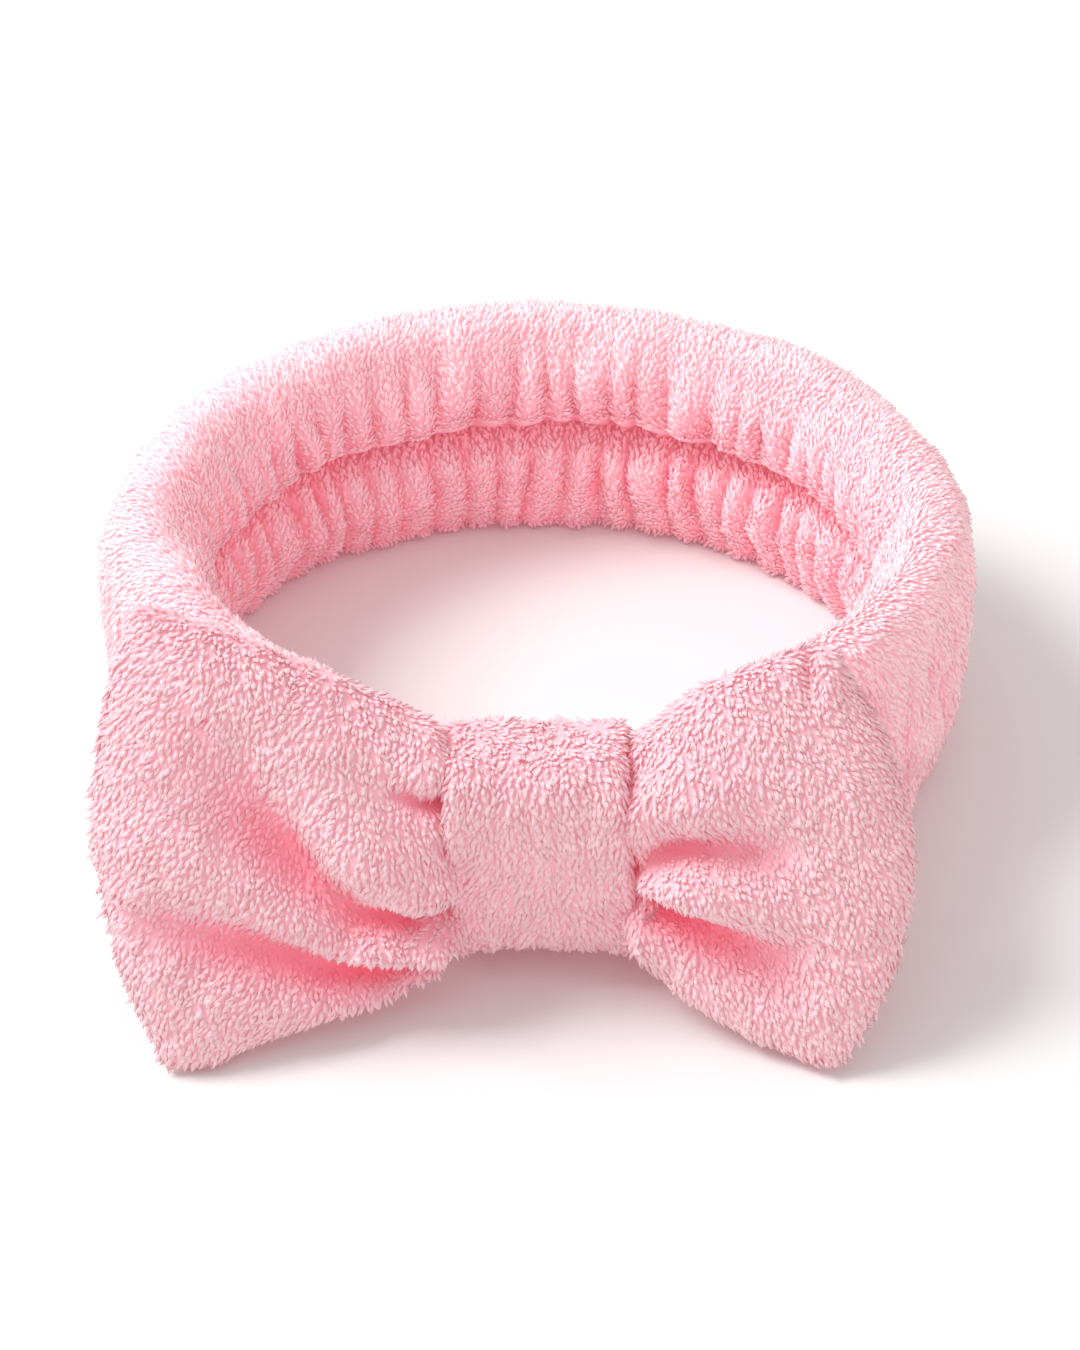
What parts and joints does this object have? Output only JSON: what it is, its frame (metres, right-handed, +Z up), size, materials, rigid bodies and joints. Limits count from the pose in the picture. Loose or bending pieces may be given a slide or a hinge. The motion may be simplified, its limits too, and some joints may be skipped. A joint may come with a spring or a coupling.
{
  "type": "spa headband",
  "caption": "Soft plush fleece headband that stretches over the head to hold hair back, with a leaning two-loop bow held by a wrapped knot.",
  "frame": {"origin": "under the middle of the object's box, on the surface that the band's lower edge stands on", "axes": "+Z up along the head opening's axis, +X across the band's width, the bow faces -Y"},
  "size_m": [0.1988, 0.2138, 0.0768],
  "materials": {
    "fleece": "plush coral fleece, fluffy and matte",
    "bow_fleece": "plush coral fleece, fluffy and matte",
    "elastic": "woven elastic, matte",
    "thread": "spun polyester sewing thread, slight sheen"
  },
  "bodies": {
    "front": {"band_front": "fleece", "seam_thread_front": "thread", "elastic_strip": "elastic", "elastic_joint_stitch": "thread", "band_end_stitch": "thread", "knot_wrap": "bow_fleece", "knot_closing_stitch": "thread", "bow_waist": "bow_fleece", "bow_gather_thread": "thread", "bow_tack_stitch": "thread"},
    "rear": {"band_rear": "fleece", "seam_thread_rear": "thread"},
    "left_loop": {"bow_left_loop": "bow_fleece", "bow_left_seam_thread": "thread"},
    "right_loop": {"bow_right_loop": "bow_fleece", "bow_right_seam_thread": "thread"}
  },
  "joints": [
    {"name": "band_stretch", "type": "slide", "parent": "front", "child": "rear", "axis": [0, 1, 0], "range_m": [0, 0.045], "stiffness_N_per_m": 70, "deforming": ["elastic_strip"]},
    {"name": "left_loop_flex", "type": "hinge", "parent": "front", "child": "left_loop", "pos_m": [-0.0237, -0.0693, 0.0315], "axis": [0, 0, 1], "range_deg": [0, 25], "stiffness_Nm_per_rad": 0.02},
    {"name": "right_loop_flex", "type": "hinge", "parent": "front", "child": "right_loop", "pos_m": [0.0237, -0.0693, 0.0315], "axis": [0, 0, -1], "range_deg": [0, 25], "stiffness_Nm_per_rad": 0.02}
  ]
}
